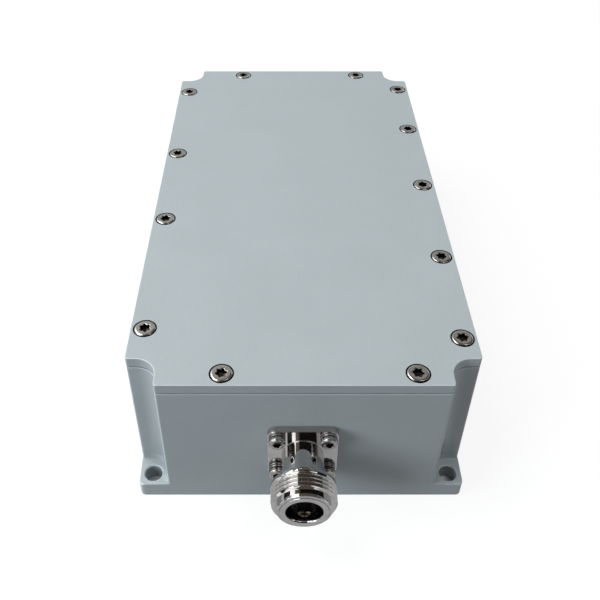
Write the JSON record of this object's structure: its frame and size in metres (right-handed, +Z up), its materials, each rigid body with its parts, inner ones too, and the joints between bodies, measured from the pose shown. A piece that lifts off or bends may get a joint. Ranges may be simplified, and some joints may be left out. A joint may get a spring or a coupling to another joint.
{
  "type": "rf bandpass filter",
  "caption": "Box-shaped cavity bandpass filter with a screwed lid, notched corners with drilled mounting ears, and a flange-mounted coaxial port at each end.",
  "frame": {"origin": "centre of the housing's base, on the plane it stands on", "axes": "+X across the housing to the right, +Y along it to the rear port, +Z up; the front port faces -Y"},
  "size_m": [0.086, 0.1962, 0.0453],
  "materials": {
    "grey_paint": "fine-textured light grey paint on milled aluminium",
    "stainless_steel": "plain stainless steel",
    "bright_nickel": "bright nickel plating on brass",
    "silver_plating": "satin silver plating on aluminium",
    "gold_plating": "gold plating on a copper alloy",
    "white_insulator": "natural white fluoropolymer",
    "brass": "bare turned brass",
    "silvered_wire": "silver-plated copper wire"
  },
  "bodies": {
    "root": {"housing": "grey_paint", "lid": "grey_paint", "lid_screw_01": "stainless_steel", "lid_screw_02": "stainless_steel", "lid_screw_03": "stainless_steel", "lid_screw_04": "stainless_steel", "lid_screw_05": "stainless_steel", "lid_screw_06": "stainless_steel", "lid_screw_07": "stainless_steel", "lid_screw_08": "stainless_steel", "lid_screw_09": "stainless_steel", "lid_screw_10": "stainless_steel", "lid_screw_11": "stainless_steel", "lid_screw_12": "stainless_steel", "lid_screw_13": "stainless_steel", "front_port_shell": "bright_nickel", "front_port_insulator": "white_insulator", "front_port_contact": "gold_plating", "front_port_screw_1": "stainless_steel", "front_port_screw_2": "stainless_steel", "front_port_screw_3": "stainless_steel", "front_port_screw_4": "stainless_steel", "front_port_washer_1": "stainless_steel", "front_port_washer_2": "stainless_steel", "front_port_washer_3": "stainless_steel", "front_port_washer_4": "stainless_steel", "rear_port_shell": "bright_nickel", "rear_port_insulator": "white_insulator", "rear_port_contact": "gold_plating", "rear_port_screw_1": "stainless_steel", "rear_port_screw_2": "stainless_steel", "rear_port_screw_3": "stainless_steel", "rear_port_screw_4": "stainless_steel", "rear_port_washer_1": "stainless_steel", "rear_port_washer_2": "stainless_steel", "rear_port_washer_3": "stainless_steel", "rear_port_washer_4": "stainless_steel", "input_tap_wire": "silvered_wire", "output_tap_wire": "silvered_wire", "tuning_cover": "silver_plating", "resonator_1": "silver_plating", "resonator_2": "silver_plating", "resonator_3": "silver_plating", "resonator_4": "silver_plating", "resonator_5": "silver_plating", "resonator_6": "silver_plating", "tuning_screw_1": "brass", "tuning_screw_2": "brass", "tuning_screw_3": "brass", "tuning_screw_4": "brass", "tuning_screw_5": "brass", "tuning_screw_6": "brass", "lock_nut_1": "brass", "lock_nut_2": "brass", "lock_nut_3": "brass", "lock_nut_4": "brass", "lock_nut_5": "brass", "lock_nut_6": "brass"}
  },
  "joints": []
}
